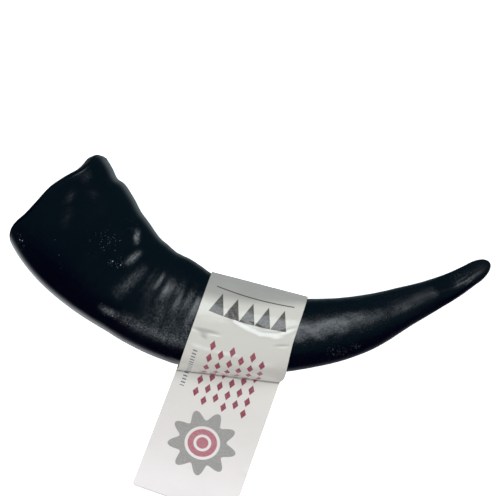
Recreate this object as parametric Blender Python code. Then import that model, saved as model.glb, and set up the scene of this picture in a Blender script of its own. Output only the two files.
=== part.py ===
"""Polished black buffalo horn lying flat, with a film label strip wrapped round its middle.

The horn is one hollow piece, lofted along a curved centreline that lies in the plane of the surface.
The label is one strip of film: it goes once round the horn, and its two ends are stuck together as a
flag that comes down from the horn's outer side and lies on the surface.

Sizes are in millimetres and angles in degrees. MM turns sizes into Blender's metres.
"""
import math

import bmesh
import bpy
from mathutils import Vector

MM = 0.001

# Centreline of the horn, seen from above, as arcs of (length, turn per millimetre) from base to tip
BASE_POINT = (-97.9, 71.6)
BASE_HEADING = -64.2
CENTRELINE_ARCS = ((140.0, 0.461), (60.0, 0.396), (60.0, 0.13))
HORN_LENGTH = 252.4

# Section of the horn at distances along the centreline
HALF_WIDTH = (
    (-10.0, 29.2), (0.0, 30.2), (8.0, 31.3), (18.0, 31.6), (30.0, 30.7), (44.0, 28.7), (60.0, 26.25),
    (72.0, 25.6), (84.0, 25.0), (94.0, 24.2), (115.0, 21.6), (140.0, 18.8), (158.0, 16.8), (170.0, 15.6),
    (182.0, 13.9), (195.0, 11.6), (203.0, 10.2), (211.0, 9.0), (220.0, 7.8), (230.0, 6.7), (241.0, 5.6),
)
HEIGHT = (
    (-10.0, 44.2), (20.0, 43.6), (35.0, 42.2), (50.0, 40.0), (65.0, 37.7), (80.0, 35.7), (95.0, 34.1),
    (120.0, 31.5), (150.0, 27.5), (165.0, 25.6), (180.0, 22.6), (190.0, 20.0), (200.0, 17.0), (210.0, 14.2),
    (220.0, 11.8), (230.0, 10.3), (241.0, 9.4),
)
SQUARENESS = ((-10.0, 2.7), (50.0, 2.6), (110.0, 2.5), (160.0, 2.5), (200.0, 2.3), (241.0, 2.1))
# How far the crest of the upper face moves towards the outer, convex edge
CREST_LEAN = (
    (-10.0, 0.0), (25.0, 0.04), (60.0, 0.2), (85.0, 0.3), (150.0, 0.28), (172.0, 0.26), (190.0, 0.2),
    (205.0, 0.24), (218.0, 0.12), (236.0, 0.35),
)
# How far the whole section sways towards the outer edge, and where the tip starts to round off
SWAY = (
    (120.0, 0.0), (160.0, 0.1), (182.0, 0.4), (196.0, 0.0), (203.0, 0.1), (210.0, 0.5), (219.0, 1.1),
    (230.0, 1.6), (240.0, 1.4), (250.0, 1.0),
)
NOSE_START = 241.0

# The belly is worn flat where it rests, and stands clear of the surface from the label to the tip
BELLY_SINK = 0.5
BELLY_LIFT = 0.8
LIFT_FROM = 62.0
LIFT_OVER = 20.0

# Sawn rim at the base: its distance along the centreline, across the section from the inner edge at -1
RIM = (
    (-1.0, -9.2), (-0.94, -10.5), (-0.86, -9.9), (-0.76, -8.0), (-0.6, -6.1), (-0.3, -4.9), (0.0, -3.2),
    (0.3, 0.2), (0.55, 2.6), (0.8, 4.1), (0.92, 6.0), (1.0, 9.3),
)
RIM_FADE = 34.0
LIP_ROUND = 1.3

# Hollow: the wall at the rim, and how far the hollow reaches
WALL = 4.2
HOLLOW_END = 116.0

# Growth ribs across the horn, strongest on the inner edge, and longer swells of that edge
RIB_COUNT = 13
RIB_FIRST = 29.0
RIB_PITCH = 5.3
RIB_UNEVEN = 1.0
RIB_HEIGHT = 0.18
RIB_SKEW = 1.2
SWELLS = (
    (-10.0, 0.2), (0.0, 0.2), (8.0, -1.1), (13.0, 0.3), (20.0, 0.55), (27.0, 0.5), (35.0, 0.05), (44.0, 0.5),
    (56.0, 0.25), (62.0, 0.65), (69.0, 0.3), (79.0, 1.25), (86.0, 0.9), (94.0, 0.1), (104.0, 0.0),
)

# Label strip: its direction, its edges across the strip, the crease at the horn's outer side, and the
# flag, which comes down from the crease to the surface
STRIP_HEADING = -109.3
STRIP_EDGES = (-31.2, 19.9)
CREASE_AT_EDGES = (28.1, 17.3)
CREASE_HEIGHTS = (15.5, 12.5)
FLAG_DOWN = 80.8
FLAG_END = 89.7
FLAG_CORNER = 2.0
FILM = 0.35
GAP = 0.32

# Rows of the meshes. Rim, lip and hollow rows are places along the horn, the rest are counts
AROUND = 44
BASE_ROWS = (LIP_ROUND, 5.0, 10.0, 15.0, 20.0, 24.5)
TIP_ROWS = 20
NOSE_ROWS = (0.5, 0.8, 0.95)
LIP_ROWS = ((0.35, 0.3), (0.0, 1.0))
HOLLOW_ROWS = (0.0, 0.04, 0.15, 0.3, 0.45, 0.6, 0.74, 0.86, 0.94, 0.985)
STRIP_ROWS = 10
STRIP_ROUND = 46
FLAG_ROWS = 9
UNDER_STRIP = range(60, 190, 3)

HORN_COLOUR = (0.006, 0.008, 0.011, 1.0)
LABEL_COLOUR = (0.76, 0.75, 0.71, 1.0)


def along(stations, s):
    """Value at s of a smooth curve through (place, value) stations."""
    if s <= stations[0][0]:
        return stations[0][1]
    if s >= stations[-1][0]:
        return stations[-1][1]
    slopes = []
    for index in range(len(stations)):
        before = stations[max(index - 1, 0)]
        after = stations[min(index + 1, len(stations) - 1)]
        slopes.append((after[1] - before[1]) / (after[0] - before[0]))
    index = max(i for i, station in enumerate(stations) if station[0] <= s)
    (s0, v0), (s1, v1) = stations[index], stations[index + 1]
    span = s1 - s0
    f = (s - s0) / span
    return (
        v0 * (1 + 2 * f) * (1 - f) ** 2
        + v1 * f * f * (3 - 2 * f)
        + slopes[index] * span * f * (1 - f) ** 2
        - slopes[index + 1] * span * f * f * (1 - f)
    )


def ease(f):
    """Smooth step from 0 to 1."""
    f = min(max(f, 0.0), 1.0)
    return f * f * (3 - 2 * f)


def power(value, exponent):
    """Power of the size of a value, with its sign kept."""
    return math.copysign(abs(value) ** exponent, value)


def centreline(s):
    """Point on the centreline at distance s, and its heading in radians."""
    x, y = BASE_POINT
    heading = math.radians(BASE_HEADING)
    left = s
    for index, (length, turn) in enumerate(CENTRELINE_ARCS):
        last = index == len(CENTRELINE_ARCS) - 1
        run = left if last else min(left, length)
        rate = math.radians(turn)
        ahead = heading + rate * run
        x += (math.sin(ahead) - math.sin(heading)) / rate
        y -= (math.cos(ahead) - math.cos(heading)) / rate
        heading = ahead
        left -= run
        if left <= 0:
            break
    return x, y, heading


def nose(s):
    """Share of the section left where the tip rounds off."""
    if s <= NOSE_START:
        return 1.0
    f = (s - NOSE_START) / (HORN_LENGTH - NOSE_START)
    return math.sqrt(max(1 - f * f, 0.0))


def rib_places():
    """Distances of the growth ribs along the centreline, a little uneven."""
    return [RIB_FIRST + RIB_PITCH * k + RIB_UNEVEN * math.sin(2.3 * k) for k in range(RIB_COUNT)]


def relief(s, side, rise):
    """Height of the growth ribs and swells at s, for a place on the section (side -1 is the inner edge)."""
    inner = 0.5 - 0.5 * side
    reach = (0.15 + 0.85 * inner) * (0.6 + 0.4 * rise)
    height = 0.0
    for number, place in enumerate(rib_places()):
        apart = abs(s - place + RIB_SKEW * side) / (0.5 * RIB_PITCH)
        if apart < 1:
            strength = math.sin(math.pi * (number + 0.7) / RIB_COUNT)
            strength *= 0.65 + 0.35 * math.sin(4.1 * number)
            height += RIB_HEIGHT * strength * reach * math.cos(0.5 * math.pi * apart) ** 2
    return height + along(SWELLS, s) * inner ** 6


def rim(side):
    """Distance of the sawn rim along the centreline, for a place across the section."""
    return along(RIM, side)


def belly(s):
    """Height of the underside of the horn above the surface, before it is worn flat."""
    lifted = ease((s - LIFT_FROM) / LIFT_OVER)
    return BELLY_LIFT * lifted - BELLY_SINK * (1 - lifted)


def skin(s, angle, offset=0.0):
    """Point on the horn's outer skin, or offset outwards from it. Angle 0 is the outer edge, 90 the top."""
    square = 2 / along(SQUARENESS, s)
    side = power(math.cos(angle), square)
    rise = power(math.sin(angle), square)
    half_width = along(HALF_WIDTH, s) * nose(s)
    half_height = 0.5 * along(HEIGHT, s) * nose(s)
    middle = belly(s) + 0.5 * along(HEIGHT, s)
    lean = along(CREST_LEAN, s) * side if rise > 0 else 0.0
    out_side = math.cos(angle) * half_height
    out_rise = math.sin(angle) * half_width
    out = math.hypot(out_side, out_rise) or 1.0
    push = offset + relief(s, side, rise) * nose(s)
    across = along(SWAY, s) + side * half_width + push * out_side / out
    height = middle + rise * half_height * (1 + lean) + push * out_rise / out
    x, y, heading = centreline(s)
    height = max(height, -offset)
    return Vector((x + across * math.sin(heading), y - across * math.cos(heading), height))


def outer_point(s, angle):
    """Point of the outer skin, with the rim's waves carried a short way along the horn."""
    square = 2 / along(SQUARENESS, s)
    side = power(math.cos(angle), square)
    fade = max(1 - s / RIM_FADE, 0.0) ** 2
    return skin(s + rim(side) * fade, angle)


def hollow_point(s, angle, wall):
    """Point on the wall of the hollow, which narrows to a rounded end."""
    square = 2 / along(SQUARENESS, s)
    side = power(math.cos(angle), square)
    rise = power(math.sin(angle), square)
    fade = max(1 - s / RIM_FADE, 0.0) ** 2
    place = s + rim(side) * fade
    narrow = math.sqrt(max(1 - (s / HOLLOW_END) ** 2, 0.0))
    half_width = (along(HALF_WIDTH, place) - wall) * narrow
    half_height = (0.5 * along(HEIGHT, place) - wall) * narrow
    x, y, heading = centreline(place)
    across = side * half_width
    height = max(belly(place) + 0.5 * along(HEIGHT, place) + rise * half_height, 0.0)
    return Vector((x + across * math.sin(heading), y - across * math.cos(heading), height))


def rings_to_mesh(rings, first_pole, last_pole):
    """Closed mesh from rings of points, with a pole point at each end."""
    mesh = bmesh.new()
    rows = [[mesh.verts.new(point * MM) for point in ring] for ring in rings]
    for row, ahead in zip(rows, rows[1:]):
        for i in range(len(row)):
            j = (i + 1) % len(row)
            mesh.faces.new((row[i], row[j], ahead[j], ahead[i]))
    for pole, row in ((first_pole, rows[0]), (last_pole, rows[-1])):
        tip = mesh.verts.new(pole * MM)
        for i in range(len(row)):
            mesh.faces.new((tip, row[i], row[(i + 1) % len(row)]))
    bmesh.ops.recalc_face_normals(mesh, faces=mesh.faces)
    return mesh


def add_object(name, mesh, material, collection):
    """Named object with a smooth shaded mesh and its material."""
    data = bpy.data.meshes.new(name)
    mesh.to_mesh(data)
    mesh.free()
    data.shade_smooth()
    data.set_sharp_from_angle(angle=math.radians(40))
    data.materials.append(material)
    thing = bpy.data.objects.new(name, data)
    collection.objects.link(thing)
    return thing


def finish(name, colour, roughness):
    """Principled material of one colour."""
    material = bpy.data.materials.new(name)
    material.use_nodes = True
    shader = material.node_tree.nodes["Principled BSDF"]
    shader.inputs["Base Color"].default_value = colour
    shader.inputs["Roughness"].default_value = roughness
    shader.inputs["Metallic"].default_value = 0.0
    return material


def horn_rings():
    """Rings of the horn: down the outside from the tip, over the rim, and up into the hollow."""
    angles = [2 * math.pi * i / AROUND for i in range(AROUND)]
    ribs = rib_places()
    places = list(BASE_ROWS)
    for place, ahead in zip(ribs, ribs[1:]):
        places += [place, 0.5 * (place + ahead)]
    last = ribs[-1]
    places += [last + (NOSE_START - last) * k / TIP_ROWS for k in range(TIP_ROWS + 1)]
    places += [NOSE_START + (HORN_LENGTH - NOSE_START) * share for share in NOSE_ROWS]
    rings = [[outer_point(s, angle) for angle in angles] for s in reversed(places)]
    for depth, share in LIP_ROWS:
        rings.append([hollow_point(depth, angle, share * LIP_ROUND) for angle in angles])
    for share in HOLLOW_ROWS:
        rings.append([hollow_point(HOLLOW_END * share, angle, WALL) for angle in angles])
    return rings


def make_horn(collection):
    """Hollow horn, closed at the tip and open at the base."""
    rings = horn_rings()
    tip = skin(HORN_LENGTH, 0.0)
    end = hollow_point(HOLLOW_END, 0.0, WALL)
    mesh = rings_to_mesh(rings, tip, end)
    return add_object("horn", mesh, finish("polished horn", HORN_COLOUR, 0.3), collection)


def strip_axes():
    """Unit vectors across the strip, towards the tip, and along it, towards the flag."""
    heading = math.radians(STRIP_HEADING)
    across = Vector((-math.sin(heading), math.cos(heading), 0))
    down = Vector((math.cos(heading), math.sin(heading), 0))
    return across, down


def crease(w):
    """Distance of the crease along the strip, and its height, at a place across the strip."""
    low, high = STRIP_EDGES
    f = (w - low) / (high - low)
    distance = CREASE_AT_EDGES[0] + (CREASE_AT_EDGES[1] - CREASE_AT_EDGES[0]) * f
    height = CREASE_HEIGHTS[0] + (CREASE_HEIGHTS[1] - CREASE_HEIGHTS[0]) * f
    return distance, height


def flag_height(w, d):
    """Height of the middle of the flag, which comes down in a soft S curve and then lies flat."""
    start, height = crease(w)
    return FILM + (height - FILM) * (1 - ease((d - start) / (FLAG_DOWN - start)))


def strip_hull():
    """Tight wrap round the stretch of horn under the strip, drawn out to the crease."""
    across, down = strip_axes()
    points = []
    for i in range(2 * AROUND):
        angle = math.pi * i / AROUND
        line = [skin(s, angle, GAP) for s in UNDER_STRIP]
        places = [point.dot(across) for point in line]
        for k in range(len(line) - 1):
            for edge in STRIP_EDGES:
                if (places[k] - edge) * (places[k + 1] - edge) < 0:
                    f = (edge - places[k]) / (places[k + 1] - places[k])
                    points.append(line[k].lerp(line[k + 1], f))
            if STRIP_EDGES[0] < places[k] < STRIP_EDGES[1]:
                points.append(line[k])
    for edge in STRIP_EDGES:
        distance, height = crease(edge)
        points.append(across * edge + down * distance + Vector((0, 0, height)))
    hull = bmesh.new()
    for point in points:
        hull.verts.new(point)
    bmesh.ops.convex_hull(hull, input=hull.verts)
    return hull


def slice_hull(hull, w):
    """Section of the hull at a place across the strip, as (along, height) points from crease to crease."""
    across, down = strip_axes()
    cut = []
    for edge in hull.edges:
        a, b = (vert.co for vert in edge.verts)
        wa = a.dot(across) - w
        wb = b.dot(across) - w
        if wa * wb < 0:
            point = a.lerp(b, wa / (wa - wb))
            cut.append((point.dot(down), point.z))
    middle = sum(point[0] for point in cut) / len(cut), sum(point[1] for point in cut) / len(cut)
    start = crease(w)
    origin = math.atan2(start[1] - middle[1], start[0] - middle[0])

    def turn(point):
        return (origin - math.atan2(point[1] - middle[1], point[0] - middle[0])) % (2 * math.pi)

    cut = [point for point in cut if math.dist(point, start) > 0.5]
    return [start] + sorted(cut, key=turn) + [start]


def even(points, count):
    """Points at even steps along a polyline."""
    lengths = [0.0]
    for a, b in zip(points, points[1:]):
        lengths.append(lengths[-1] + math.dist(a, b))
    result = []
    k = 0
    for i in range(count):
        want = lengths[-1] * i / (count - 1)
        while k < len(points) - 2 and lengths[k + 1] < want:
            k += 1
        f = (want - lengths[k]) / ((lengths[k + 1] - lengths[k]) or 1.0)
        result.append(tuple(a + (b - a) * f for a, b in zip(points[k], points[k + 1])))
    return result


def outset(points, distance):
    """Polyline moved outwards, with its ends moved straight down and up."""
    moved = []
    for k, (d, z) in enumerate(points):
        if k == 0:
            moved.append((d, z - distance))
        elif k == len(points) - 1:
            moved.append((d, z + distance))
        else:
            before, after = points[k - 1], points[k + 1]
            run, climb = after[0] - before[0], after[1] - before[1]
            size = math.hypot(run, climb)
            moved.append((d - distance * climb / size, max(z + distance * run / size, 0.0)))
    return moved


def flag_end(w):
    """Length of the flag at a place across it, with rounded corners."""
    inside = min(w - STRIP_EDGES[0], STRIP_EDGES[1] - w)
    short = max(FLAG_CORNER - inside, 0.0)
    return FLAG_END - FLAG_CORNER + math.sqrt(max(FLAG_CORNER ** 2 - short ** 2, 0.0))


def make_label(collection):
    """Strip of film: a closed loop round the horn, and a flag of both ends stuck together."""
    across, down = strip_axes()
    low, high = STRIP_EDGES
    hull = strip_hull()
    places = [low, low + 0.3 * FLAG_CORNER, low + FLAG_CORNER]
    inner_width = high - low - 2 * FLAG_CORNER
    places += [low + FLAG_CORNER + inner_width * k / STRIP_ROWS for k in range(1, STRIP_ROWS)]
    places += [high - FLAG_CORNER, high - 0.3 * FLAG_CORNER, high]
    mesh = bmesh.new()
    inner_rows, outer_rows = [], []
    for w in places:
        inside = even(slice_hull(hull, min(max(w, low + 0.01), high - 0.01)), STRIP_ROUND)
        outside = outset(inside, FILM)
        start, end = crease(w)[0], flag_end(w)
        flag = [start + (end - start) * k / FLAG_ROWS for k in range(1, FLAG_ROWS + 1)]
        outside += [(d, flag_height(w, d) + FILM) for d in flag]
        outside += [(d, flag_height(w, d) - FILM) for d in reversed(flag)]
        for rows, ring in ((inner_rows, inside[:-1]), (outer_rows, outside)):
            rows.append([mesh.verts.new((across * w + down * d + Vector((0, 0, z))) * MM) for d, z in ring])
    for rows in (inner_rows, outer_rows):
        for row, ahead in zip(rows, rows[1:]):
            for i in range(len(row)):
                j = (i + 1) % len(row)
                mesh.faces.new((row[i], row[j], ahead[j], ahead[i]))
    for inner, outer in ((inner_rows[0], outer_rows[0]), (inner_rows[-1], outer_rows[-1])):
        for k in range(STRIP_ROUND - 1):
            mesh.faces.new((inner[k], inner[(k + 1) % len(inner)], outer[k + 1], outer[k]))
        top, bottom = STRIP_ROUND - 1, 0
        mesh.faces.new((inner[0], outer[top], outer[bottom]))
        for k in range(FLAG_ROWS):
            above, below = STRIP_ROUND + k, STRIP_ROUND + 2 * FLAG_ROWS - 1 - k
            mesh.faces.new((outer[top], outer[above], outer[below], outer[bottom]))
            top, bottom = above, below
    hull.free()
    bmesh.ops.recalc_face_normals(mesh, faces=mesh.faces)
    return add_object("label", mesh, finish("label film", LABEL_COLOUR, 0.35), collection)


def main():
    for thing in list(bpy.data.objects):
        bpy.data.objects.remove(thing, do_unlink=True)
    collection = bpy.data.collections.new("buffalo horn")
    bpy.context.scene.collection.children.link(collection)
    make_horn(collection)
    make_label(collection)


main()
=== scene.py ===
import math

import bmesh
import bpy
import numpy as np
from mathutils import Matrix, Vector, noise


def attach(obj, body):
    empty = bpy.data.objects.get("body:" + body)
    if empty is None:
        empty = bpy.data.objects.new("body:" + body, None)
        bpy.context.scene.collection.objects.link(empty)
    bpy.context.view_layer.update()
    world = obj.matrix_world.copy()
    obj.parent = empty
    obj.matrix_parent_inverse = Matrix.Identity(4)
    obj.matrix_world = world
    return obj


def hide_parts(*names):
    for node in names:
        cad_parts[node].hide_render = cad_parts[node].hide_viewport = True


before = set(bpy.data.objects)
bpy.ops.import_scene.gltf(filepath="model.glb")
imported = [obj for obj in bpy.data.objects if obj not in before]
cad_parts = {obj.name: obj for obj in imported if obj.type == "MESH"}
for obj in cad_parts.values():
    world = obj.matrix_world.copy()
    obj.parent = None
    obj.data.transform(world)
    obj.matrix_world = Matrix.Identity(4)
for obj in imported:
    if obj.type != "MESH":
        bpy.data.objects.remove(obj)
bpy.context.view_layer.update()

# The horn. One water buffalo horn of solid keratin, sawn off at the skull, where it is hollow.
# It was scraped, dyed black and polished by hand, which left its growth ribs, soft facets and a fine
# mottling in the shine. The sawn rim is duller, and the hollow keeps its rough brown-black inside.
MM = 0.001
BASE_POINT = (-97.9, 71.6)
BASE_HEADING = -64.2
CENTRELINE_ARCS = ((140.0, 0.461), (60.0, 0.396), (60.0, 0.13))
HORN_LENGTH = 252.4
NOSE_START = 241.0
HALF_WIDTH = (
    (-10.0, 29.2), (0.0, 30.2), (8.0, 31.3), (18.0, 31.6), (30.0, 30.7), (44.0, 28.7), (60.0, 26.25),
    (72.0, 25.6), (84.0, 25.0), (94.0, 24.2), (115.0, 21.6), (140.0, 18.8), (158.0, 16.8), (170.0, 15.6),
    (182.0, 13.9), (195.0, 11.6), (203.0, 10.2), (211.0, 9.0), (220.0, 7.8), (230.0, 6.7), (241.0, 5.6),
)
HEIGHT = (
    (-10.0, 44.8), (20.0, 43.6), (35.0, 42.2), (50.0, 40.0), (65.0, 37.7), (75.0, 35.9), (84.0, 34.6),
    (95.0, 33.3), (120.0, 31.1), (150.0, 27.5), (165.0, 25.4), (180.0, 22.7), (190.0, 20.3), (200.0, 17.5),
    (206.0, 16.0), (212.0, 14.5), (217.0, 13.4), (221.0, 12.6), (224.0, 11.7), (231.5, 9.5), (235.0, 9.05),
    (239.0, 8.5), (241.0, 8.05),
)
SQUARENESS = ((-10.0, 2.7), (50.0, 2.6), (110.0, 2.5), (160.0, 2.5), (200.0, 2.3), (241.0, 2.1))
CREST_LEAN = (
    (-10.0, -0.09), (25.0, 0.04), (60.0, 0.2), (85.0, 0.3), (150.0, 0.28), (160.0, 0.24), (168.0, 0.2),
    (190.0, 0.19), (205.0, 0.24), (218.0, 0.14), (236.0, 0.55),
)
SWAY = (
    (120.0, 0.0), (160.0, 0.1), (182.0, 0.4), (196.0, 0.0), (203.0, 0.1), (210.0, 0.5), (219.0, 1.1),
    (230.0, 1.6), (240.0, 1.4), (250.0, 1.0),
)
BELLY_SINK = 0.5
BELLY_LIFT = 0.8
LIFT_FROM = 62.0
LIFT_OVER = 20.0
RIM = (
    (-1.0, -9.2), (-0.94, -10.5), (-0.86, -9.9), (-0.76, -8.0), (-0.6, -6.1), (-0.3, -4.9), (0.0, -3.2),
    (0.3, 0.2), (0.55, 2.6), (0.8, 4.1), (0.92, 6.0), (1.0, 9.3),
)
RIM_FADE = 34.0
LIP_ROUND = 1.3
WALL = 4.2
HOLLOW_END = 116.0
RIB_COUNT = 13
RIB_FIRST = 29.0
RIB_PITCH = 5.3
RIB_UNEVEN = 1.0
RIB_HEIGHT = 0.18
RIB_SKEW = 1.2
SWELLS = (
    (-10.0, 0.2), (0.0, 0.2), (8.0, -1.1), (13.0, 0.3), (20.0, 0.55), (27.0, 0.5), (35.0, 0.05),
    (44.0, 0.5), (56.0, 0.25), (62.0, 0.65), (69.0, 0.3), (79.0, 1.25), (86.0, 0.9), (94.0, 0.1),
    (104.0, 0.0),
)
GRAIN_RADII = (28.0, 20.0)
HOLLOW_GRAIN_RADII = (24.0, 16.0)
HORN_AROUND = 200
HORN_ROWS = 322
NOSE_ROWS = 12
LIP_ROWS = 6
HOLLOW_ROWS = 50


def along(stations, s):
    """Values at s of a smooth curve through (place, value) stations."""
    places, values = np.array(stations).T
    last = len(places) - 1
    before = np.maximum(np.arange(last + 1) - 1, 0)
    after = np.minimum(np.arange(last + 1) + 1, last)
    slopes = (values[after] - values[before]) / (places[after] - places[before])
    s = np.clip(s, places[0], places[-1])
    k = np.clip(np.searchsorted(places, s, side="right") - 1, 0, last - 1)
    span = places[k + 1] - places[k]
    f = (s - places[k]) / span
    return (
        values[k] * (1 + 2 * f) * (1 - f) ** 2
        + values[k + 1] * f * f * (3 - 2 * f)
        + slopes[k] * span * f * (1 - f) ** 2
        - slopes[k + 1] * span * f * f * (1 - f)
    )


def ease(f):
    """Smooth step from 0 to 1."""
    f = np.clip(f, 0.0, 1.0)
    return f * f * (3 - 2 * f)


def centreline(s):
    """Points on the centreline at distances s, and the headings there in radians."""
    s = np.asarray(s, float)
    x = np.full(s.shape, BASE_POINT[0])
    y = np.full(s.shape, BASE_POINT[1])
    heading = np.full(s.shape, math.radians(BASE_HEADING))
    start = 0.0
    for index, (length, turn) in enumerate(CENTRELINE_ARCS):
        low = -np.inf if index == 0 else 0.0
        high = np.inf if index == len(CENTRELINE_ARCS) - 1 else length
        run = np.clip(s - start, low, high)
        rate = math.radians(turn)
        ahead = heading + rate * run
        x = x + (np.sin(ahead) - np.sin(heading)) / rate
        y = y - (np.cos(ahead) - np.cos(heading)) / rate
        heading = ahead
        start += length
    return x, y, heading


def relief(s, side, rise):
    """Height of the growth ribs and swells. Side -1 is the inner edge, and rise 1 is the top."""
    inner = 0.5 - 0.5 * side
    reach = (0.15 + 0.85 * inner) * (0.6 + 0.4 * rise)
    height = np.zeros(np.shape(s))
    for number in range(RIB_COUNT):
        place = RIB_FIRST + RIB_PITCH * number + RIB_UNEVEN * math.sin(2.3 * number)
        strength = math.sin(math.pi * (number + 0.7) / RIB_COUNT) * (0.65 + 0.35 * math.sin(4.1 * number))
        apart = np.clip(np.abs(s - place + RIB_SKEW * side) / (0.5 * RIB_PITCH), 0, 1)
        height += RIB_HEIGHT * strength * reach * np.cos(0.5 * math.pi * apart) ** 2
    return height + along(SWELLS, s) * inner ** 10


def rim(side):
    """Distance of the sawn rim along the centreline."""
    return along(RIM, side)


def section(s, angle):
    """Places across and up the section, from -1 to 1. Angle 0 is the outer edge, a quarter turn the top."""
    square = 2 / along(SQUARENESS, s)
    side = np.sign(np.cos(angle)) * np.abs(np.cos(angle)) ** square
    rise = np.sign(np.sin(angle)) * np.abs(np.sin(angle)) ** square
    return side, rise


def belly(s):
    """Height of the underside above the surface, before it is worn flat."""
    lifted = ease((s - LIFT_FROM) / LIFT_OVER)
    return BELLY_LIFT * lifted - BELLY_SINK * (1 - lifted)


def placed(s, across, height):
    """Points of the horn from places along, across and above its centreline."""
    x, y, heading = centreline(s)
    return np.stack([x + across * np.sin(heading), y - across * np.cos(heading), height], axis=-1)


def skin(s, angle, offset=0.0, fine=0.0):
    """Points on the polished outside, or offset outwards from it, with some fine relief."""
    side, rise = section(s, angle)
    nose = np.sqrt(np.clip(1 - (np.maximum(s - NOSE_START, 0) / (HORN_LENGTH - NOSE_START)) ** 2, 0, 1))
    half_width = along(HALF_WIDTH, s) * nose
    half_height = 0.5 * along(HEIGHT, s) * nose
    lean = np.where(rise > 0, along(CREST_LEAN, s) * side, 0.0)
    out_side = np.cos(angle) * half_height
    out_rise = np.sin(angle) * half_width
    out = np.maximum(np.hypot(out_side, out_rise), 1e-6)
    push = offset + (relief(s, side, rise) + fine) * nose
    across = along(SWAY, s) + side * half_width + push * out_side / out
    height = belly(s) + 0.5 * along(HEIGHT, s) + rise * half_height * (1 + lean) + push * out_rise / out
    return placed(s, across, np.maximum(height, -offset))


def hollow(s, angle, wall):
    """Points on the wall of the hollow, which narrows to a rounded end, and its places along the horn."""
    side, rise = section(s, angle)
    place = s + rim(side) * np.clip(1 - s / RIM_FADE, 0, 1) ** 2
    narrow = np.sqrt(np.clip(1 - (s / HOLLOW_END) ** 2, 0, 1))
    across = side * (along(HALF_WIDTH, place) - wall) * narrow
    height = belly(place) + 0.5 * along(HEIGHT, place)
    height = height + rise * (0.5 * along(HEIGHT, place) - wall) * narrow
    return placed(place, across, np.maximum(height, 0.0)), place


def mottle(points, size, seed):
    """Smooth noise from -1 to 1 at points in millimetres."""
    shift = Vector((7.3 * seed, -3.1 * seed, 5.7 * seed))
    flat = points.reshape(-1, 3) / size
    values = [noise.noise(Vector(point) + shift) for point in flat]
    return np.array(values).reshape(points.shape[:-1])


def grain_place(s, angle, radii):
    """Places along, across and up in the grain of the horn, as if the horn were straight."""
    across, up = radii
    return np.stack([s + 0 * angle, across * np.cos(angle + 0 * s), up * np.sin(angle + 0 * s)], axis=-1)


angles = np.linspace(0, 2 * math.pi, HORN_AROUND, endpoint=False)[None, :]
rows = np.linspace(LIP_ROUND, NOSE_START, HORN_ROWS)
nose_turn = np.linspace(0, 0.5 * math.pi, NOSE_ROWS + 2)[1:-1]
rows = np.concatenate([rows, NOSE_START + (HORN_LENGTH - NOSE_START) * np.sin(nose_turn)])[::-1, None]
rows = np.repeat(rows, HORN_AROUND, axis=1)
side, rise = section(rows, angles)
from_rim = rows.copy()
rows = rows + rim(side) * np.clip(1 - rows / RIM_FADE, 0, 1) ** 2

# Soft facets from scraping, fewer near the base, and uneven growth lines across the horn, which show most
# between its base and the label. The belly has neither.
BROAD_FACET = (0.16, 16.0)
SMALL_FACET = (0.09, 6.0)
FACETS_AT_BASE = 0.2
FACETS_GROW = (25.0, 30.0)
GROWTH_LINE = (0.11, 2.6)
LINES_ELSEWHERE = 0.12
LINES_BEGIN = (64.0, 26.0)
LINES_END = (105.0, 30.0)
LINE_STRETCH = (1.0, 0.14, 0.14)
BELLY_TO_TOP = (3.0, 5.0)


def eased_from(value, start_and_length):
    """Smooth step from 0 to 1 over a length that begins at a start."""
    start, length = start_and_length
    return ease((value - start) / length)


straight = grain_place(rows, angles, GRAIN_RADII)
facets = BROAD_FACET[0] * mottle(straight, BROAD_FACET[1], 1)
facets = facets + SMALL_FACET[0] * mottle(straight, SMALL_FACET[1], 2)
facets = facets * (FACETS_AT_BASE + (1 - FACETS_AT_BASE) * eased_from(rows, FACETS_GROW))
lined = eased_from(rows, LINES_BEGIN) * (1 - eased_from(rows, LINES_END))
growth = GROWTH_LINE[0] * mottle(straight * LINE_STRETCH, GROWTH_LINE[1], 3)
growth = growth * (LINES_ELSEWHERE + (1 - LINES_ELSEWHERE) * lined)
top_only = eased_from(skin(rows, angles)[..., 2], BELLY_TO_TOP)
outside = skin(rows, angles, fine=(facets + growth) * top_only)


def stroke(u, v, ends, width):
    """Soft stroke from 0 to 1 between two points of a surface."""
    a, b = np.array(ends, float)
    line = b - a
    t = np.clip(((u - a[0]) * line[0] + (v - a[1]) * line[1]) / (line @ line), 0, 1)
    apart = np.hypot(u - a[0] - t * line[0], v - a[1] - t * line[1])
    return np.exp(-((apart / width) ** 2)) * np.sin(math.pi * (0.15 + 0.7 * t))


# Scuffs and pale specks, as strokes along and across the upper face, each with its width and strength. Some
# scuff strokes are painted highlight: those across the growth lines before the label, along the crest and
# at the tip stand in for the shine there.
SCUFFS_AND_PAINTED_SHINE = (
    (((43.1, -22.1), (47.1, -18.6)), 1.2, 1.0), (((52.2, -15.0), (51.0, -8.4)), 1.3, 0.9),
    (((59.4, -10.0), (57.0, 6.0)), 2.3, 0.25), (((66.5, -12.0), (70.5, 3.0)), 2.4, 0.05),
    (((74.0, -13.0), (79.5, 8.0)), 2.2, 0.08), (((82.0, -14.0), (86.5, 7.0)), 1.8, 0.12),
    (((89.0, -12.0), (94.0, 8.0)), 2.0, 0.2), (((55.5, 16.9), (62.0, 15.4)), 1.3, 0.5),
    (((66.0, 14.5), (97.0, 12.0)), 2.5, 0.36), (((74.0, 8.0), (98.0, 7.0)), 4.0, 0.13),
    (((-1.5, -19.5), (1.0, -17.5)), 1.8, 0.1), (((4.5, -9.0), (7.0, -5.0)), 1.8, 0.09),
    (((12.0, -3.0), (16.0, 2.0)), 2.2, 0.04), (((234.0, 1.2), (241.0, 2.4)), 1.0, 0.06),
)
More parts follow.
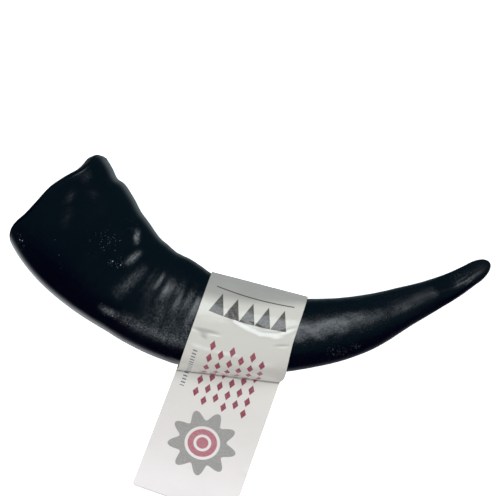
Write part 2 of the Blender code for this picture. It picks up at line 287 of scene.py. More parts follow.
SPECKS = (
    (((31.5, -5.0), (38.5, -11.5)), 4.0, 0.24), (((46.0, -3.5), (51.0, -6.5)), 3.0, 0.32),
    (((56.0, 17.0), (70.0, 15.0)), 1.6, 0.5), (((70.0, 14.5), (92.0, 12.3)), 2.0, 0.3),
    (((9.0, 24.0), (15.0, 26.0)), 1.6, 0.3), (((162.0, 10.0), (169.0, 11.5)), 2.0, 0.34),
    (((172.5, 9.3), (175.0, 9.6)), 1.2, 0.5), (((34.0, -24.5), (50.0, -19.0)), 2.5, 0.12),
    (((232.0, -4.0), (245.0, 3.0)), 3.0, 0.15), (((17.0, 9.0), (30.0, 16.0)), 2.0, 0.06),
)
ROUGHER = (
    (-10.0, 0.0), (150.0, 0.0), (175.0, 0.03), (195.0, 0.06), (206.0, 0.12), (213.0, 0.15), (219.0, 0.15),
    (222.0, 0.04), (228.0, 0.05), (233.0, 0.11), (241.0, 0.1), (246.0, 0.3),
)
STRAY_SPECKS = 0.006
RIM_DULLNESS = 0.14
RIM_DULL_WIDTH = 3.0
UPPER_FACE_RISE = 0.4
across_face = side * along(HALF_WIDTH, rows)
upper_face = ease(rise / UPPER_FACE_RISE)
scuff_and_painted_shine = np.zeros(rows.shape)
speck = np.full(rows.shape, STRAY_SPECKS)
for ends, width, strength in SCUFFS_AND_PAINTED_SHINE:
    scuff_and_painted_shine += strength * stroke(rows, across_face, ends, width) * upper_face
for ends, width, strength in SPECKS:
    speck += strength * stroke(rows, across_face, ends, width) * upper_face
rougher = along(ROUGHER, rows) + RIM_DULLNESS * (1 - eased_from(from_rim, (LIP_ROUND, RIM_DULL_WIDTH)))
surface = np.stack([scuff_and_painted_shine, speck, rougher], axis=-1)

rings = [outside]
grain = [straight]
plain_surface = np.zeros(((LIP_ROWS + HOLLOW_ROWS + 1) * HORN_AROUND + 2, 3))
surface = np.concatenate([surface.reshape(-1, 3), plain_surface])
lip_turn = np.linspace(0, 0.5 * math.pi, LIP_ROWS + 1)[1:]
for turn in lip_turn:
    depth = np.full((1, HORN_AROUND), LIP_ROUND * (1 - math.sin(turn)))
    points, place = hollow(depth, angles, LIP_ROUND * (1 - math.cos(turn)))
    rings.append(points)
    grain.append(grain_place(place, angles, GRAIN_RADII))
shares = np.sin(np.linspace(0, 0.5 * math.pi, HOLLOW_ROWS + 2)[:-1])
for share in shares:
    points, place = hollow(np.full((1, HORN_AROUND), HOLLOW_END * share), angles, WALL)
    rings.append(points)
    grain.append(grain_place(place, angles, HOLLOW_GRAIN_RADII))
rings = np.concatenate(rings)
grain = np.concatenate(grain)

tip = skin(np.array([HORN_LENGTH]), np.array([0.0]))
hollow_end = hollow(np.array([HOLLOW_END]), np.array([0.0]), WALL)[0]
vertices = np.concatenate([rings.reshape(-1, 3), tip, hollow_end]) * MM
grain = np.concatenate([grain.reshape(-1, 3), [[HORN_LENGTH, 0, 0]], [[HOLLOW_END, 0, 0]]])
count = len(rings)
faces = []
for row in range(count - 1):
    for i in range(HORN_AROUND):
        j = (i + 1) % HORN_AROUND
        a, b = row * HORN_AROUND, (row + 1) * HORN_AROUND
        faces.append((a + i, a + j, b + j, b + i))
tip_index = count * HORN_AROUND
for i in range(HORN_AROUND):
    j = (i + 1) % HORN_AROUND
    faces.append((tip_index, j, i))
    faces.append((tip_index + 1, (count - 1) * HORN_AROUND + i, (count - 1) * HORN_AROUND + j))


def mesh_object(name, vertices, faces):
    """Smooth shaded object from points in metres and faces, with its faces turned outwards."""
    data = bpy.data.meshes.new(name)
    data.from_pydata([tuple(v) for v in vertices], [], faces)
    shell = bmesh.new()
    shell.from_mesh(data)
    bmesh.ops.recalc_face_normals(shell, faces=shell.faces)
    shell.to_mesh(data)
    shell.free()
    data.shade_smooth()
    thing = bpy.data.objects.new(name, data)
    bpy.context.scene.collection.objects.link(thing)
    return thing


def store(thing, name, vectors):
    """Keeps one vector for each point of a mesh, for its material to read."""
    attribute = thing.data.attributes.new(name, "FLOAT_VECTOR", "POINT")
    attribute.data.foreach_set("vector", np.asarray(vectors, np.float32).ravel())


horn = mesh_object("polished_horn", vertices, faces)
store(horn, "grain", grain)
store(horn, "surface", surface)


def node(tree, kind, inputs=(), **settings):
    """New shader node with its settings, and with its inputs linked or set."""
    made = tree.nodes.new(kind)
    for name, value in settings.items():
        setattr(made, name, value)
    for socket, value in dict(inputs).items():
        if isinstance(value, bpy.types.NodeSocket):
            tree.links.new(value, made.inputs[socket])
        else:
            made.inputs[socket].default_value = value
    return made


def maths(tree, operation, a, b=0.0, clamp=False):
    """Result of a maths node."""
    return node(tree, "ShaderNodeMath", {0: a, 1: b}, operation=operation, use_clamp=clamp).outputs[0]


def ramp(tree, value, low, high, to_low=0.0, to_high=1.0):
    """Value mapped smoothly from one range to another."""
    inputs = {"Value": value, "From Min": low, "From Max": high, "To Min": to_low, "To Max": to_high}
    return node(tree, "ShaderNodeMapRange", inputs, interpolation_type="SMOOTHSTEP").outputs["Result"]


def colour_mix(tree, share, a, b):
    """Mix of two colours, through the colour sockets of a mix node."""
    mixer = tree.nodes.new("ShaderNodeMix")
    mixer.data_type = "RGBA"
    mixer.inputs[6].default_value = (0, 0, 0, 1)
    for index, value in ((0, share), (6, a), (7, b)):
        if isinstance(value, bpy.types.NodeSocket):
            tree.links.new(value, mixer.inputs[index])
        else:
            mixer.inputs[index].default_value = value
    return mixer.outputs[2]


def noise_value(tree, vector, scale, detail=4.0, roughness=0.55, distortion=0.0):
    """Noise texture's value."""
    inputs = {"Vector": vector, "Scale": scale, "Detail": detail}
    inputs.update({"Roughness": roughness, "Distortion": distortion})
    return node(tree, "ShaderNodeTexNoise", inputs).outputs["Fac"]


def stretched(tree, vector, scale):
    """Texture vector with its own scale along, across and up the horn."""
    return node(tree, "ShaderNodeMapping", {"Vector": vector, "Scale": scale}).outputs["Vector"]


POLISH_ROUGHNESS = 0.11
SCUFF_AND_SHINE_DULLNESS = 0.15
KERATIN_IOR = 1.54
MOTTLE_DEPTH = 0.11
LINE_DEPTH = 0.08
SCRATCH_DEPTH = 0.03
PATCH_DEPTH = 0.22
SPECK_HEIGHT = 0.06
polished = bpy.data.materials.new("polished horn")
polished.use_nodes = True
tree = polished.node_tree
shader = tree.nodes["Principled BSDF"]
place = node(tree, "ShaderNodeAttribute", attribute_name="grain").outputs["Vector"]
marks = node(tree, "ShaderNodeAttribute", attribute_name="surface").outputs["Vector"]
marks = node(tree, "ShaderNodeSeparateXYZ", {"Vector": marks}).outputs
broad = noise_value(tree, place, 0.045, 3.0)
fine_mottle = noise_value(tree, place, 0.9, 5.0, 0.65)
patches = noise_value(tree, stretched(tree, place, (0.8, 0.8, 0.8)), 0.3, 5.0, 0.6, 0.4)
across_lines = noise_value(tree, stretched(tree, place, (1.0, 0.1, 0.1)), 0.6, 4.0, 0.6)
scratches = noise_value(tree, stretched(tree, place, (0.08, 1.0, 1.0)), 2.2, 4.0, 0.6)

# Scuffs and painted highlights break up into fine strokes, and specks are a few of the cells of a scatter
broken = ramp(tree, fine_mottle, 0.36, 0.66, 0.25)
broken = maths(tree, "MULTIPLY", broken, ramp(tree, across_lines, 0.3, 0.6, 0.4))
scuffs_and_painted_shine = maths(tree, "MULTIPLY", marks["X"], broken, clamp=True)
cells = node(tree, "ShaderNodeTexVoronoi", {"Vector": place, "Scale": 1.0, "Randomness": 1.0})
chance = node(tree, "ShaderNodeSeparateColor", {"Color": cells.outputs["Color"]}).outputs
kept = ramp(tree, maths(tree, "SUBTRACT", marks["Y"], chance["Red"]), 0.0, 0.05)
dot_size = maths(tree, "MULTIPLY", maths(tree, "POWER", chance["Green"], 3.0), 0.22)
dot = ramp(tree, maths(tree, "SUBTRACT", cells.outputs["Distance"], dot_size), 0.17, 0.08)
specks = maths(tree, "MULTIPLY", dot, kept)
dust = node(tree, "ShaderNodeTexVoronoi", {"Vector": place, "Scale": 2.1, "Randomness": 1.0})
dust_chance = node(tree, "ShaderNodeSeparateColor", {"Color": dust.outputs["Color"]}).outputs["Red"]
dust_kept = ramp(tree, maths(tree, "SUBTRACT", marks["Y"], dust_chance), 0.0, 0.04)
dust_dot = ramp(tree, dust.outputs["Distance"], 0.42, 0.22)
dust_spots = maths(tree, "MULTIPLY", maths(tree, "MULTIPLY", dust_dot, dust_kept), 0.4)
specks = maths(tree, "MAXIMUM", specks, dust_spots)
DYE = (0.0005, 0.0008, 0.003, 1)
THIN_DYE = (0.001, 0.0016, 0.0038, 1)
SCUFF_AND_SHINE_GREY = (0.26, 0.28, 0.29, 1)
DUST_GREY = (0.32, 0.33, 0.35, 1)
black = colour_mix(tree, ramp(tree, broad, 0.35, 0.7), DYE, THIN_DYE)
# Pale grey in the base colour: partly real scuffs, partly painted highlight on the growth lines, crest and
# tip
scuffed_and_shining = colour_mix(tree, scuffs_and_painted_shine, black, SCUFF_AND_SHINE_GREY)
spotted = colour_mix(tree, maths(tree, "MULTIPLY", specks, 0.7), scuffed_and_shining, DUST_GREY)
tree.links.new(spotted, shader.inputs["Base Color"])

# The polish is smoothest near the base and just before the tip, and mottled and uneven between
far = node(tree, "ShaderNodeSeparateXYZ", {"Vector": place}).outputs["X"]
lively = ramp(tree, far, 30.0, 95.0, 0.3, 1.0)
lively = maths(tree, "MULTIPLY", lively, ramp(tree, far, 214.0, 224.0, 1.0, 0.4))
lively = maths(tree, "ADD", lively, ramp(tree, far, 228.0, 236.0, 0.0, 0.4))
dull = ramp(tree, fine_mottle, 0.32, 0.68, 0.0, 0.11)
dull = maths(tree, "ADD", dull, ramp(tree, patches, 0.36, 0.64, 0.0, 0.09))
dull = maths(tree, "ADD", marks["Z"], maths(tree, "MULTIPLY", dull, lively))
dull = maths(tree, "ADD", dull, maths(tree, "MULTIPLY", scuffs_and_painted_shine, SCUFF_AND_SHINE_DULLNESS))
tree.links.new(maths(tree, "ADD", dull, POLISH_ROUGHNESS), shader.inputs["Roughness"])
shader.inputs["IOR"].default_value = KERATIN_IOR
heights = maths(tree, "MULTIPLY", fine_mottle, MOTTLE_DEPTH)
heights = maths(tree, "ADD", heights, maths(tree, "MULTIPLY", across_lines, LINE_DEPTH))
heights = maths(tree, "ADD", heights, maths(tree, "MULTIPLY", scratches, SCRATCH_DEPTH))
heights = maths(tree, "ADD", heights, maths(tree, "MULTIPLY", patches, PATCH_DEPTH))
heights = maths(tree, "MULTIPLY", heights, lively)
heights = maths(tree, "ADD", heights, maths(tree, "MULTIPLY", specks, SPECK_HEIGHT))
bump = node(tree, "ShaderNodeBump", {"Height": heights, "Strength": 0.3, "Distance": MM})
tree.links.new(bump.outputs["Normal"], shader.inputs["Normal"])

sawn = bpy.data.materials.new("sawn and raw horn")
sawn.use_nodes = True
tree = sawn.node_tree
shader = tree.nodes["Principled BSDF"]
place = node(tree, "ShaderNodeAttribute", attribute_name="grain").outputs["Vector"]
fibres = noise_value(tree, stretched(tree, place, (0.06, 1.0, 1.0)), 1.1, 5.0, 0.65)
stains = noise_value(tree, place, 0.09, 4.0)
RAW_BLACK = (0.007, 0.006, 0.006, 1)
RAW_BROWN = (0.028, 0.021, 0.016, 1)
FIBRE_BROWN = (0.06, 0.05, 0.04, 1)
raw = colour_mix(tree, ramp(tree, stains, 0.35, 0.68), RAW_BLACK, RAW_BROWN)
raw = colour_mix(tree, ramp(tree, fibres, 0.5, 0.75, 0.0, 0.5), raw, FIBRE_BROWN)
tree.links.new(raw, shader.inputs["Base Color"])
tree.links.new(ramp(tree, fibres, 0.3, 0.7, 0.5, 0.7), shader.inputs["Roughness"])
bump = node(tree, "ShaderNodeBump", {"Height": fibres, "Strength": 0.7, "Distance": 0.3 * MM})
tree.links.new(bump.outputs["Normal"], shader.inputs["Normal"])

horn.data.materials.append(polished)
horn.data.materials.append(sawn)
outer_faces = (len(outside) - 1 + LIP_ROWS // 2) * HORN_AROUND
indices = np.zeros(len(faces), np.int32)
indices[outer_faces:(count - 1) * HORN_AROUND] = 1
indices[(count - 1) * HORN_AROUND + 1::2] = 1
horn.data.polygons.foreach_set("material_index", indices)
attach(horn, "root")
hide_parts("horn")

# The label. One strip of thin white film, two inches wide, printed in faded grey, dark red and blue.
# It goes once round the horn, bridges the hollow side of the bend, and its two ends are stuck back to
# back, so that they lie on the surface as a flag. The film looks greyer over the black horn.
STRIP_HEADING = -109.3
STRIP_EDGES = (-31.2, 19.9)
CREASE_AT_EDGES = (28.1, 17.3)
CREASE_HEIGHTS = (15.5, 12.5)
FLAG_DOWN = 80.8
FLAG_END = 92.1
PRINT_FROM = 89.7
FLAG_CORNER = 2.0
FILM = 0.35
GAP = 0.32
HULL_AROUND = 120
STRIP_ROWS = 96
STRIP_ROUND = 240
FLAG_ROWS = 70
SMOOTHINGS = 6

strip_turn = math.radians(STRIP_HEADING)
across_strip = Vector((-math.sin(strip_turn), math.cos(strip_turn), 0))
down_strip = Vector((math.cos(strip_turn), math.sin(strip_turn), 0))


def crease(w):
    """Distance of the crease along the strip, and its height, at a place across the strip."""
    low, high = STRIP_EDGES
    f = (w - low) / (high - low)
    distance = CREASE_AT_EDGES[0] + (CREASE_AT_EDGES[1] - CREASE_AT_EDGES[0]) * f
    return distance, CREASE_HEIGHTS[0] + (CREASE_HEIGHTS[1] - CREASE_HEIGHTS[0]) * f


# The film is drawn tight, as the smallest wrap round the horn under it and the crease beside it
reach = np.arange(60.0, 190.0, 1.5)
hull_points = []
for angle in np.linspace(0, 2 * math.pi, HULL_AROUND, endpoint=False):
    line = skin(reach, np.full(reach.shape, angle), GAP)
    places = line @ np.array(across_strip)
    for edge in STRIP_EDGES:
        for k in np.nonzero((places[:-1] - edge) * (places[1:] - edge) < 0)[0]:
            f = (edge - places[k]) / (places[k + 1] - places[k])
            hull_points.append(line[k] + (line[k + 1] - line[k]) * f)
    hull_points += list(line[(places > STRIP_EDGES[0]) & (places < STRIP_EDGES[1])])
for edge in STRIP_EDGES:
    distance, height = crease(edge)
    hull_points.append(across_strip * edge + down_strip * distance + Vector((0, 0, height)))
hull = bmesh.new()
for point in hull_points:
    hull.verts.new(point)
bmesh.ops.convex_hull(hull, input=hull.verts)
hull_edges = np.array([[edge.verts[0].co, edge.verts[1].co] for edge in hull.edges if edge.link_faces])
hull.free()


def loop_at(w):
    """Section of the tight wrap at a place across the strip, from the crease, under the horn and back."""
    wa = hull_edges[:, 0] @ np.array(across_strip) - w
    wb = hull_edges[:, 1] @ np.array(across_strip) - w
    crossing = wa * wb < 0
    f = (wa / (wa - wb + 1e-12))[crossing, None]
    cut = hull_edges[crossing, 0] + (hull_edges[crossing, 1] - hull_edges[crossing, 0]) * f
    flat = np.stack([cut @ np.array(down_strip), cut[:, 2]], axis=1)
    start = np.array(crease(w))
    middle = flat.mean(0)
    turns = np.arctan2(flat[:, 1] - middle[1], flat[:, 0] - middle[0])
    origin = math.atan2(start[1] - middle[1], start[0] - middle[0])
    flat = flat[np.argsort((origin - turns) % (2 * math.pi))]
    flat = flat[np.linalg.norm(flat - start, axis=1) > 0.5]
    flat = np.concatenate([[start], flat, [start]])
    steps = np.concatenate([[0], np.cumsum(np.linalg.norm(np.diff(flat, axis=0), axis=1))])
    want = np.linspace(0, steps[-1], STRIP_ROUND)
    even = [np.interp(want, steps, flat[:, 0]), np.interp(want, steps, flat[:, 1])]
    return np.stack(even, axis=1), steps[-1]


low, high = STRIP_EDGES
corner = FLAG_CORNER * (1 - np.cos(np.linspace(0, 0.5 * math.pi, 8)))
middle_places = np.linspace(low + FLAG_CORNER, high - FLAG_CORNER, STRIP_ROWS)[1:-1]
places = np.concatenate([low + corner, middle_places, high - corner[::-1]])
loops = []
lengths = []
for w in places:
    loop, length = loop_at(min(max(w, low + 0.01), high - 0.01))
    loops.append(loop)
    lengths.append(length)
loops = np.array(loops)
lengths = np.array(lengths)
for _ in range(SMOOTHINGS):
    loops[:, 1:-1] += 0.25 * (loops[:, :-2] + loops[:, 2:] - 2 * loops[:, 1:-1])
    loops[1:-1] += 0.25 * (loops[:-2] + loops[2:] - 2 * loops[1:-1])

# Outward directions of the loop, and its places across and along the strip, as the print is measured
run = np.gradient(loops, axis=1)
run /= np.linalg.norm(run, axis=2, keepdims=True)
outward = np.stack([-run[..., 1], run[..., 0]], axis=2)
from_crease = np.linspace(1, 0, STRIP_ROUND)[None, :] * lengths[:, None]
flag_length = PRINT_FROM - crease(places)[0]
strip_l = flag_length[:, None] + from_crease
strip_w = np.repeat((places - low)[:, None], STRIP_ROUND, axis=1)

# Folds and dents of the film over the horn, each with its two ends across and along the strip, its width
# and its height, among soft wrinkles that stand a little off the horn
FOLDS = (
    (((15.5, 112.5), (19.8, 107.6)), 1.2, 0.6), (((19.8, 107.3), (34.0, 104.6)), 1.3, 0.75),
    (((34.0, 104.6), (42.0, 105.6)), 1.3, 0.7), (((42.0, 105.6), (50.7, 110.5)), 1.4, 0.55),
    (((26.5, 108.8), (33.7, 107.4)), 1.0, 0.35), (((0.0, 97.2), (14.5, 99.3)), 1.3, -0.4),
    (((5.0, 95.8), (9.5, 94.8)), 1.5, -0.3), (((1.0, 89.6), (11.0, 90.2)), 1.8, 0.35),
    (((11.0, 90.2), (29.5, 92.2)), 1.8, 0.35), (((40.0, 103.6), (46.5, 105.4)), 0.9, 0.3),
    (((41.5, 100.4), (50.5, 101.9)), 1.1, -0.3), (((30.0, 88.0), (48.0, 92.0)), 3.0, 0.3),
)
sheet_points = np.stack([strip_w, strip_l, 0 * strip_w], axis=2)
BROAD_WRINKLE = (0.14, 13.0)
SMALL_WRINKLE = (0.05, 5.0)
DEEPEST_DENT = 0.08
CALM_AT_CREASE = 9.0
WRINKLED_SHARE = 0.62
CALM_OVER = 8.0
ripple = BROAD_WRINKLE[0] * (1 + mottle(sheet_points, BROAD_WRINKLE[1], 11))
ripple = ripple + SMALL_WRINKLE[0] * (1 + mottle(sheet_points, SMALL_WRINKLE[1], 12))
# Raised folds and sunk dents are also kept for the painted highlight on folds and painted shade in dents
raised = np.zeros(strip_w.shape)
sunk = np.zeros(strip_w.shape)
for ends, width, height in FOLDS:
    fold = stroke(strip_w, strip_l, ends, width)
    ripple += height * fold
    raised += max(height, 0.0) * fold
    sunk += max(-height, 0.0) * fold
ripple = np.maximum(ripple, -DEEPEST_DENT)
top_end = WRINKLED_SHARE * lengths[:, None]
calm = np.minimum(ease(from_crease / CALM_AT_CREASE), ease((top_end - from_crease) / CALM_OVER))
loops = loops + outward * (ripple * calm)[..., None]
outer = loops + outward * FILM
outer[:, 0] = loops[:, 0] + (0, -FILM)
outer[:, -1] = loops[:, -1] + (0, FILM)
outer[..., 1] = np.maximum(outer[..., 1], 0.0)

# The solid strip, row by row across its width: the loop's outside, the flag's top and underside, and the
# loop's inside. The flag comes down softly, with its own waves and one ripple by its right edge. The film's
# edges spread a little towards the flag's end, and wander a little over the top of the horn.
FLAG_WAVE = (0.3, 22.0)
FLAG_SMALL_WAVE = (0.07, 7.0)
EDGE_RIPPLE = (0.7, 23.0, 2.2, 5.0)
FREE_OVER = 10.0
SETTLE_OVER = 14.0
SETTLED = 0.7
LEFT_SPREAD = -2.2
RIGHT_SPREAD = 0.5
DRAWN_OVER = 6.0
DRAWN_SHARE = 0.55
DRAWN_FADE = 12.0
LEFT_DRAWN = 0.7
RIGHT_DRAWN = 1.2
RIGHT_DRAWN_BACK = 2.2
RIGHT_BACK_OVER = (8.0, 26.0)
label_vertices = []
label_facts = []
label_fold_highlight_and_shade = []
ring_size = STRIP_ROUND + 2 * FLAG_ROWS + STRIP_ROUND - 1
for number, w in enumerate(places):
    inside = min(w - low, high - w)
    short = max(FLAG_CORNER - inside, 0.0)
    end = FLAG_END - FLAG_CORNER + math.sqrt(max(FLAG_CORNER ** 2 - short ** 2, 0.0))
    start, height = crease(w)
    flag = start + (end - start) * np.linspace(0, 1, FLAG_ROWS + 1)[1:]
    middle = FILM + (height - FILM) * (1 - ease((flag - start) / (FLAG_DOWN - start)))
    spread = np.stack([np.full(FLAG_ROWS, w - low), PRINT_FROM - flag, np.zeros(FLAG_ROWS)], axis=1)
    settled = ease((flag - FLAG_DOWN + SETTLE_OVER) / SETTLE_OVER)
    free = ease((flag - start) / FREE_OVER) * (1 - SETTLED * settled)
    waves = FLAG_WAVE[0] * (1 + mottle(spread, FLAG_WAVE[1], 13))
    waves = waves + FLAG_SMALL_WAVE[0] * (1 + mottle(spread, FLAG_SMALL_WAVE[1], 14))
    tall, centre, breadth, inward = EDGE_RIPPLE
    hump = tall * np.exp(-(((spread[:, 1] - centre) / breadth) ** 2))
    lift = middle + free * waves + hump * ease((w - high + inward) / inward)
    top = np.stack([flag, lift + FILM], axis=1)
    bottom = np.stack([flag, lift - FILM], axis=1)
    ring = np.concatenate([outer[number], top, bottom[::-1], loops[number][:-1]])
    facts_l = np.concatenate([strip_l[number], spread[:, 1], spread[::-1, 1], strip_l[number][:-1]])
    down = start - flag
    away = np.concatenate([from_crease[number], down, down[::-1], from_crease[number][:-1]])
    up_horn = np.concatenate([from_crease[number], np.zeros(2 * FLAG_ROWS), from_crease[number][:-1]])
    faded = eased_from(up_horn, (DRAWN_SHARE * lengths[number], DRAWN_FADE))
    on_top = ease(up_horn / DRAWN_OVER) * (1 - faded)
    right = (w - low) / (high - low)
    right_drawn = RIGHT_DRAWN - RIGHT_DRAWN_BACK * eased_from(up_horn, RIGHT_BACK_OVER)
    drawn = on_top * (LEFT_DRAWN * (1 - right) + right_drawn * right)
    splayed = ((RIGHT_SPREAD - LEFT_SPREAD) * right + LEFT_SPREAD) * (flag - start) / (end - start)
    drawn[STRIP_ROUND:STRIP_ROUND + FLAG_ROWS] += splayed
    drawn[STRIP_ROUND + FLAG_ROWS:STRIP_ROUND + 2 * FLAG_ROWS] += splayed[::-1]
    for (d, z), shift in zip(ring, drawn):
        label_vertices.append((across_strip * (w + shift) + down_strip * d + Vector((0, 0, z))) * MM)
    label_facts.append(np.stack([np.full(ring_size, w - low), facts_l, away], axis=1))
    # Where folds stand and dents sink, for the film's painted highlight and painted shade
    fold_highlight_and_shade = np.zeros((ring_size, 3))
    fold_highlight_and_shade[:STRIP_ROUND, 0] = raised[number]
    fold_highlight_and_shade[:STRIP_ROUND, 1] = sunk[number]
    label_fold_highlight_and_shade.append(fold_highlight_and_shade)
label_facts = np.concatenate(label_facts)

skin_size = STRIP_ROUND + 2 * FLAG_ROWS
label_faces = []
for number in range(len(places) - 1):
    a, b = number * ring_size, (number + 1) * ring_size
    for i in range(skin_size):
        j = (i + 1) % skin_size
        label_faces.append((a + i, a + j, b + j, b + i))
    for i in range(STRIP_ROUND - 1):
        j = (i + 1) % (STRIP_ROUND - 1)
        label_faces.append((a + skin_size + i, b + skin_size + i, b + skin_size + j, a + skin_size + j))
for start in (0, (len(places) - 1) * ring_size):
    for k in range(STRIP_ROUND - 1):
        inner_k = start + skin_size + k
        inner_next = start + skin_size + (k + 1) % (STRIP_ROUND - 1)
        label_faces.append((inner_k, inner_next, start + k + 1, start + k))
    top, bottom = start + STRIP_ROUND - 1, start
    label_faces.append((start + skin_size, top, bottom))
    for k in range(FLAG_ROWS):
        above = start + STRIP_ROUND + k
        below = start + skin_size - 1 - k
        label_faces.append((top, above, below, bottom))
        top, bottom = above, below
label = mesh_object("film_label", label_vertices, label_faces)
store(label, "strip", label_facts)
store(label, "fold_highlight_and_shade", np.concatenate(label_fold_highlight_and_shade))

film = bpy.data.materials.new("printed film")
film.use_nodes = True
tree = film.node_tree
shader = tree.nodes["Principled BSDF"]
strip = node(tree, "ShaderNodeAttribute", attribute_name="strip").outputs["Vector"]
parts = node(tree, "ShaderNodeSeparateXYZ", {"Vector": strip}).outputs
w, l, away = parts["X"], parts["Y"], parts["Z"]


def band(tree, value, low, high, soft=0.15):
    """1 between two limits and 0 outside them, with soft edges."""
    rising = ramp(tree, value, low - soft, low + soft)
    return maths(tree, "MULTIPLY", rising, ramp(tree, value, high + soft, high - soft))


def either(tree, *masks):
    """Largest of several masks."""
    result = masks[0]
    for mask in masks[1:]:
        result = maths(tree, "MAXIMUM", result, mask)
    return result


# A row of bold grey triangles across the strip, with one thin rule beyond their points
TRIANGLE_WIDTH = 8.2
TRIANGLE_HEIGHT = 11.0
TRIANGLE_BAND = (108.0, 120.0)
PRINT_EDGES = (5.05, 46.05)
RULE = (121.4, 122.0)
from_corner = maths(tree, "PINGPONG", maths(tree, "SUBTRACT", w, PRINT_EDGES[0]), 0.5 * TRIANGLE_WIDTH)
slope = maths(tree, "MULTIPLY", from_corner, TRIANGLE_HEIGHT / (0.5 * TRIANGLE_WIDTH))
above_base = maths(tree, "SUBTRACT", l, TRIANGLE_BAND[0])
below_slope = ramp(tree, maths(tree, "SUBTRACT", above_base, slope), 0.3, -0.3)
triangles = maths(tree, "MULTIPLY", band(tree, l, *TRIANGLE_BAND), below_slope)
inset = band(tree, w, *PRINT_EDGES)
grey_top = maths(tree, "MULTIPLY", either(tree, triangles, band(tree, l, *RULE)), inset)

# A rosette of grey petals round a dull red disc on the flag
ROSETTE = (25.0, 30.0)
PETALS = 9.0
PETAL_REACH = (14.6, 2.6)
PETAL_START = 8.8
DISC_RADIUS = 7.3
WHITE_RING = (3.0, 4.4)
east = maths(tree, "SUBTRACT", w, ROSETTE[0])
north = maths(tree, "SUBTRACT", l, ROSETTE[1])
squares = maths(tree, "ADD", maths(tree, "MULTIPLY", east, east), maths(tree, "MULTIPLY", north, north))
radius = maths(tree, "SQRT", squares)
bearing = maths(tree, "ARCTAN2", north, east)
wave = maths(tree, "COSINE", maths(tree, "MULTIPLY", bearing, PETALS))
petal = maths(tree, "ADD", maths(tree, "MULTIPLY", wave, PETAL_REACH[1]), PETAL_REACH[0])
petals = ramp(tree, maths(tree, "SUBTRACT", radius, petal), 0.2, -0.2)
petals = maths(tree, "MULTIPLY", petals, ramp(tree, radius, PETAL_START - 0.2, PETAL_START + 0.2))
disc = ramp(tree, radius, DISC_RADIUS + 0.2, DISC_RADIUS - 0.2)
ring = band(tree, radius, *WHITE_RING)
red_disc = maths(tree, "MULTIPLY", disc, maths(tree, "SUBTRACT", 1.0, ring))

# Staggered dark red lozenges between the rosette and the triangles, and a fine blue ladder by the edge
LOZENGE = (5.2, 6.4)
LOZENGE_COLUMNS = (10.4, 41.6)
LOZENGE_ROWS = (8.0, 15.0)
LADDER_EDGES = (4.2, 6.4)
LADDER_ENDS = (55.0, 88.0)
RUNG_PITCH = 1.7
column = maths(tree, "DIVIDE", w, LOZENGE[0])
odd = maths(tree, "MODULO", maths(tree, "FLOOR", column), 2.0)
row_shift = maths(tree, "MULTIPLY", odd, 0.5)
u = maths(tree, "ABSOLUTE", maths(tree, "SUBTRACT", maths(tree, "FRACT", column), 0.5))
v_place = maths(tree, "ADD", maths(tree, "DIVIDE", l, LOZENGE[1]), row_shift)
v = maths(tree, "ABSOLUTE", maths(tree, "SUBTRACT", maths(tree, "FRACT", v_place), 0.5))
diamond = ramp(tree, maths(tree, "ADD", maths(tree, "MULTIPLY", u, 1.35), v), 0.43, 0.39)
field = band(tree, w, *LOZENGE_COLUMNS, 0.05)
field = maths(tree, "MULTIPLY", field, band(tree, v_place, *LOZENGE_ROWS, 0.01))
diamonds = maths(tree, "MULTIPLY", diamond, field)
rung_place = maths(tree, "FRACT", maths(tree, "DIVIDE", l, RUNG_PITCH))
rungs = maths(tree, "MULTIPLY", band(tree, w, *LADDER_EDGES, 0.1), band(tree, rung_place, 0.25, 0.6, 0.08))
rungs = maths(tree, "MULTIPLY", rungs, band(tree, l, *LADDER_ENDS))

# Film that is nearly white on the pale surface, with painted light making it brighter towards the flag's
# end, and greyer over the black horn, with painted shade making it darkest where it turns down the far
# side. Folds get a painted highlight, dents and the pinched crease painted shade, and the ink is a little
# worn.
FLAG_FILM = (0.74, 0.7, 0.65, 1)
FLAG_END_PAINTED_LIGHT = (0.88, 0.815, 0.795, 1)
HORN_FILM = (0.61, 0.578, 0.52, 1)
FAR_SIDE_PAINTED_SHADE = (0.35, 0.335, 0.31, 1)
STAIN = (0.55, 0.53, 0.5, 1)
FOLD_PAINTED_HIGHLIGHT = (0.86, 0.85, 0.82, 1)
DENT_PAINTED_SHADE = (0.25, 0.24, 0.22, 1)
CREASE_PAINTED_SHADE = (0.16, 0.145, 0.13, 1)
DARK_INK = (0.05, 0.048, 0.043, 1)
GREY_INK = (0.34, 0.325, 0.31, 1)
PALE_RED_INK = (0.47, 0.17, 0.2, 1)
RED_INK = (0.28, 0.06, 0.085, 1)
BLUE_INK = (0.08, 0.11, 0.16, 1)
FILM_IOR = 1.5
worn = noise_value(tree, strip, 0.8, 4.0, 0.6)
wear = ramp(tree, worn, 0.3, 0.62, 0.88, 1.0)
# Painted light: the flag's film gets brighter towards its end
on_flag = colour_mix(tree, ramp(tree, l, 62.0, 4.0), FLAG_FILM, FLAG_END_PAINTED_LIGHT)
# Painted shade: the film over the horn darkens towards the top of the wrap, where it turns down the far
# side
on_horn = colour_mix(tree, ramp(tree, away, 49.0, 56.0), HORN_FILM, FAR_SIDE_PAINTED_SHADE)
tint = noise_value(tree, strip, 0.04, 2.0)
paper = colour_mix(tree, ramp(tree, away, 0.6, 4.0), on_flag, on_horn)
paper = colour_mix(tree, ramp(tree, tint, 0.35, 0.65, 0.0, 0.1), paper, STAIN)
fold_highlight_and_shade = node(tree, "ShaderNodeAttribute", attribute_name="fold_highlight_and_shade").outputs["Vector"]
fold_highlight_and_shade = node(tree, "ShaderNodeSeparateXYZ", {"Vector": fold_highlight_and_shade}).outputs
